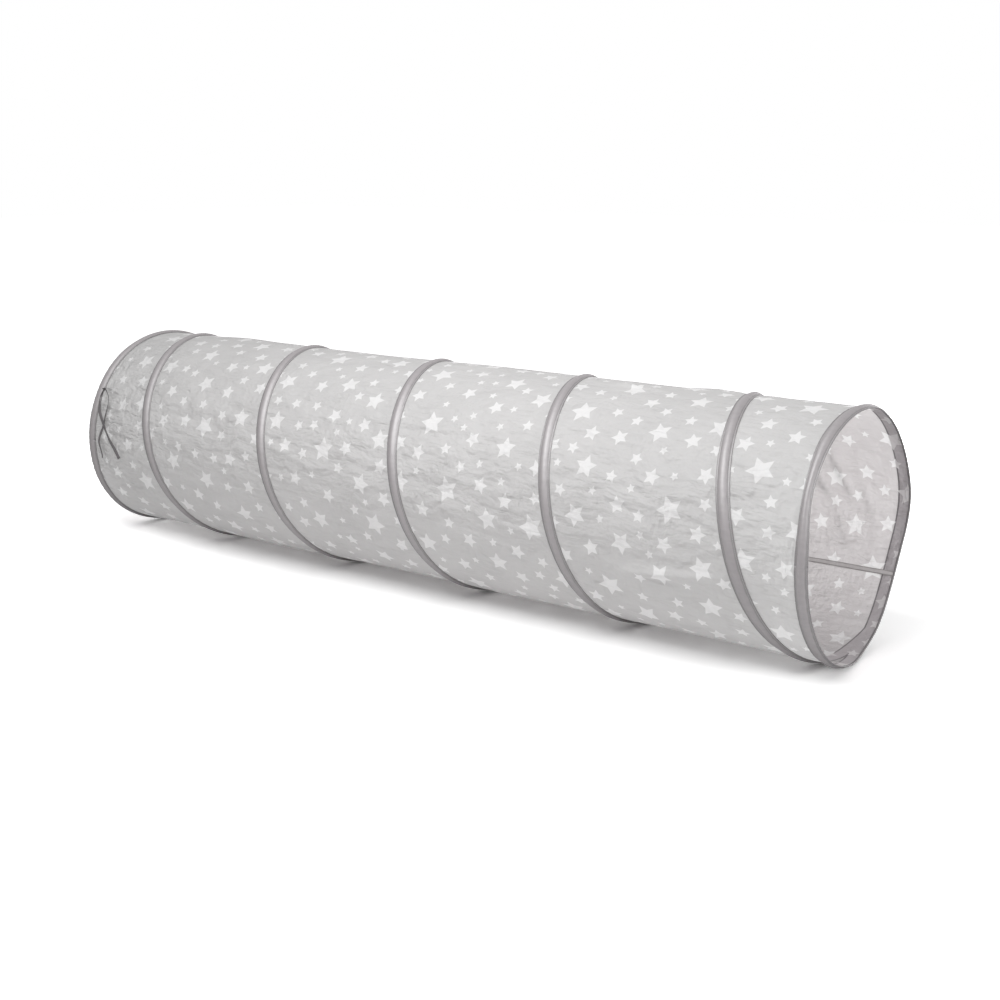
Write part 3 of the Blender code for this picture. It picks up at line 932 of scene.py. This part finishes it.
def layBinding(side):
    def lay(u, v):
        angle = 360 * u
        arc = angle * metresPerDegree
        radius = binding["rollRadius"]
        # from the inner edge out to the mouth and under
        across = (tunnel["tapeWidth"] + binding["turnedUnder"]) * v
        flatEnd = tunnel["tapeWidth"] - radius
        roll = np.clip((across - flatEnd) / radius, 0, np.pi)
        past = np.maximum(across - flatEnd - np.pi * radius, 0)
        x = bindingEdge + np.minimum(across, flatEnd) + radius * np.sin(roll) - past
        fromHoop = np.minimum(across, flatEnd) - tunnel["tapeWidth"] / 2
        raised = pocket(fromHoop)
        # the coil's wire runs in under the inner edge where it leaves the hoop
        for whole in range(-1, 6):
            coilAngle = angle + 360 * whole
            off = np.abs(side * x - coilX(coilAngle))
            onCoil = (coilAngle >= tunnel["leaveAngle"]) & (coilAngle <= arriveAngle)
            inside = onCoil & (off < binding["wireReach"])
            raised = np.where(inside, np.maximum(raised, pocket(off)), raised)
        raised = raised + edgeRipple(fromHoop, arc, 41 + side)
        depth = tunnel["flangeDepth"] - raised + radius * (1 - np.cos(roll))
        fromMiddle = fromHoop + np.maximum(across - flatEnd, 0)
        return onTunnel(angle, side * x, depth), np.stack([arc, fromMiddle], axis=1)
    return lay


for side, name, node, body in (
        (1, "nearBinding", "near_end_binding", "near_end"), (-1, "farBinding", "far_end_binding", "far_end")):
    hoopTape = flatStrip(name, binding["cells"], layBinding(side), join=True, flip=side < 0)
    addThickness(hoopTape, tapePocket["thickness"])
    dress(hoopTape, bindingTape, body)
    packMouth(hoopTape)
    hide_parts(node)
print("mouths bound")


# The tape that binds the lengthwise seam, inside
seamTape = {
    "cells": (700, 8),
    "endCells": (12, 8),
    "width": 0.010,
    "overCloth": 0.0012,
    "raise": 0.0009,
    "raisedHalf": 0.0048,            # how far from its middle it stands up
    "end": printedCloth["end"] - 0.0012,
}


def laySeam(low, high):
    def lay(u, v):
        x = low + (high - low) * u
        offset = seamTape["width"] * (v - 0.5)
        angle = tunnel["seamAngle"] + offset / metresPerDegree
        wrapped = np.where(angle > tunnel["seamAngle"], angle - 360, angle)
        besideSeam = np.full_like(x, tunnel["seamAngle"] - 0.01)
        cloth = np.maximum(clothDepthAt(wrapped, x), clothDepthAt(besideSeam, x))
        raised = seamTape["raise"] * np.clip(1 - (offset / seamTape["raisedHalf"]) ** 2, 0, 1) ** 0.5
        places = onTunnel(angle, x, cloth + seamTape["overCloth"] + raised)
        return places, np.stack([x, offset], axis=1)
    return lay


seamPieces = []
for name, cells, low, high, body in (
        ("nearSeamTape", seamTape["endCells"], hemEdge, seamTape["end"], "near_end"),
        ("seamTape", seamTape["cells"], -bindingEdge, bindingEdge, "near_end"),
        ("farSeamTape", seamTape["endCells"], -seamTape["end"], -hemEdge, "far_end")):
    strip = flatStrip(name, cells, laySeam(low, high))
    dress(strip, seamBinding, body)
    seamPieces.append(strip)
packMouth(seamPieces[0])
packTube(seamPieces[1])
packMouth(seamPieces[2])
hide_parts(*[f"seam_tape_{number}" for number in range(1, 6)])
print("seam bound")


# The spring wire, and the sleeves that clamp its ends
springWire = {
    "radius": 0.00125,
    "lap": 0.0031,                   # how far beside the hoop its free end lies
    "lapTurns": (285, 330),          # how many degrees past the coil it moves there
    "step": 3.0,                     # degrees
    "sides": 3,
    "freeEnd": 384.8,                # degrees of wire past each end of the coil
    "roughness": 0.32,
    "colour": (0.55, 0.56, 0.58),
}
wireSleeve = {
    "radius": 0.00205,
    "length": 0.030,
    "wall": 0.0005,
    "cells": (24, 6),
    "nearAngle": -135.0,
    "farAngle": 1650.0,
}


def steelMaterial():
    material, tree, shader = newMaterial("springSteel", springWire["roughness"])
    shader.inputs["Metallic"].default_value = 1.0
    drawn = noiseNode(tree, objectPoint(tree), 300, 4)
    colour = mixColour(tree, drawn, *shades(springWire["colour"], 0.8, 1.0))
    tree.links.new(colour, shader.inputs["Base Color"])
    tree.links.new(rangeNode(tree, drawn, 0.3, 0.7, 0.25, 0.45, "LINEAR"), shader.inputs["Roughness"])
    tree.links.new(bumpNode(tree, drawn, 0.00005, 0.3), shader.inputs["Normal"])
    return material


def wireX(angle):
    x = float(coilX(angle))
    starts, beside = springWire["lapTurns"]
    x += springWire["lap"] * float(smooth(tunnel["leaveAngle"] - starts, tunnel["leaveAngle"] - beside, angle))
    x -= springWire["lap"] * float(smooth(arriveAngle + starts, arriveAngle + beside, angle))
    return x


def bendWire(name, first, last, body):
    count = round((last - first) / springWire["step"])
    curve = bpy.data.curves.new(name, "CURVE")
    curve.dimensions = "3D"
    curve.bevel_depth = springWire["radius"]
    curve.bevel_resolution = springWire["sides"]
    curve.use_fill_caps = True
    spline = curve.splines.new("POLY")
    spline.points.add(count)
    for index, point in enumerate(spline.points):
        angle = first + (last - first) * index / count
        place = onTunnel(np.array([angle]), np.array([wireX(angle)]), tunnel["wireDepth"])[0]
        point.co = (*place, 1)
    wire = bpy.data.objects.new(name, curve)
    bpy.context.collection.objects.link(wire)
    bpy.ops.object.select_all(action="DESELECT")
    wire.select_set(True)
    bpy.context.view_layer.objects.active = wire
    bpy.ops.object.convert(target="MESH")
    wire = bpy.context.object
    bpy.ops.object.shade_smooth()
    dress(wire, steel, body)
    return wire


def crimpSleeve(name, middleAngle, side, node, body):
    # a flattened tube round the two lengths of wire that lie side by side
    def lay(u, v):
        turn = 2 * np.pi * u
        angle = middleAngle + wireSleeve["length"] * (v - 0.5) / metresPerDegree
        beside = np.where(np.cos(turn) > 0, springWire["lap"], 0.0)
        x = side * (nearHoop + beside + wireSleeve["radius"] * np.cos(turn))
        depth = tunnel["wireDepth"] - wireSleeve["radius"] * np.sin(turn)
        flat = np.stack([turn * wireSleeve["radius"], angle * metresPerDegree], axis=1)
        return onTunnel(angle, x, depth), flat

    sleeve = flatStrip(name, wireSleeve["cells"], lay, join=True, flip=side < 0)
    addThickness(sleeve, wireSleeve["wall"])
    dress(sleeve, steel, body)
    packMouth(sleeve)
    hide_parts(node)


steel = steelMaterial()
inBinding = 360 * (nearHoop - bindingEdge) / pitch
leaves, arrives = tunnel["leaveAngle"] + inBinding, arriveAngle - inBinding
packMouth(bendWire("nearWireHoop", tunnel["leaveAngle"] - springWire["freeEnd"], leaves, "near_end"))
coilWire = bendWire("springCoil", leaves, arrives, "near_end")
packTube(coilWire)
packMouth(bendWire("farWireHoop", arrives, arriveAngle + springWire["freeEnd"], "far_end"))
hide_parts("spring_wire")
crimpSleeve("nearWireSleeve", wireSleeve["nearAngle"], 1, "near_wire_sleeve", "near_end")
crimpSleeve("farWireSleeve", wireSleeve["farAngle"], -1, "far_wire_sleeve", "far_end")
print("wire bent")


# Floor and light
studio = {
    "floor": (0.86, 0.86, 0.86),
    # how bright the camera sees the floor, which the object doesn't feel: near it and further off. Near the
    # tunnel it is lower, centred towards the near mouth: painted shade that deepens the shadow at that end and
    # lightens it at the far end
    "floorSeen": (1.08, 2.6),
    "floorShadeMiddle": (0.16, 0.0, 0.0),
    "floorStretch": (0.9, 1.0, 1.0),
    "floorNear": (0.4, 1.6),
    "worldLight": 0.495,
    "lights": (
        ("topLight", 27.5, 1.3, (0.12, -0.84, 1.6), (0.12, 0.0, 0.2)),
        ("backLight", 26, 1.4, (0.8, 2.4, 0.25), (0.5, 0.2, 0.1)),
        ("mouthLight", 17, 0.8, (2.6, -0.30, 0.7), (0.6, 0.12, 0.1)),
    ),
}


def floorMaterial():
    material, tree, shader = newMaterial("paleFloor", 0.9)
    shader.inputs["Base Color"].default_value = (*studio["floor"], 1)
    shader.inputs["Specular IOR Level"].default_value = 0.0
    fromMiddle = vectorNode(tree, "SUBTRACT", objectPoint(tree), studio["floorShadeMiddle"])
    stretched = vectorNode(tree, "MULTIPLY", fromMiddle, studio["floorStretch"])
    away = vectorNode(tree, "LENGTH", stretched, (0.0, 0.0, 0.0))
    bright = tree.nodes.new("ShaderNodeBsdfDiffuse")
    # painted shade: the floor the camera sees is darker close to the tunnel, centred toward its near mouth,
    # and white further off
    seen = rangeNode(tree, away, *studio["floorNear"], *studio["floorSeen"])
    tree.links.new(seen, bright.inputs["Color"])
    path = tree.nodes.new("ShaderNodeLightPath")
    mixShaders(tree, path.outputs["Is Camera Ray"], shader.outputs[0], bright.outputs[0])
    return material


bpy.ops.object.select_all(action="DESELECT")
bpy.ops.mesh.primitive_plane_add(size=30, location=(0, 0, 0))
floor = bpy.context.object
floor.name = "studioFloor"
floor.data.materials.append(floorMaterial())


def lightWorld():
    world = bpy.data.worlds.new("studio")
    bpy.context.scene.world = world
    world.use_nodes = True
    tree = world.node_tree
    light = tree.nodes["Background"]
    white = tree.nodes.new("ShaderNodeBackground")
    for node in (light, white):
        node.inputs["Color"].default_value = (1, 1, 1, 1)
    light.inputs["Strength"].default_value = studio["worldLight"]
    ray = tree.nodes.new("ShaderNodeLightPath").outputs
    seen = mathNode(tree, "MAXIMUM", ray["Is Camera Ray"], ray["Is Glossy Ray"])
    seen = mathNode(tree, "MAXIMUM", seen, ray["Is Transmission Ray"])
    mixShaders(tree, seen, light.outputs[0], white.outputs[0], "World Output")


lightWorld()
for name, power, size, place, target in studio["lights"]:
    bpy.ops.object.light_add(type="AREA", location=place)
    lamp = bpy.context.object
    lamp.name = name
    lamp.data.energy = power
    lamp.data.size = size
    lamp.rotation_euler = (Vector(target) - Vector(place)).to_track_quat("-Z", "Y").to_euler()
print("studio lit")
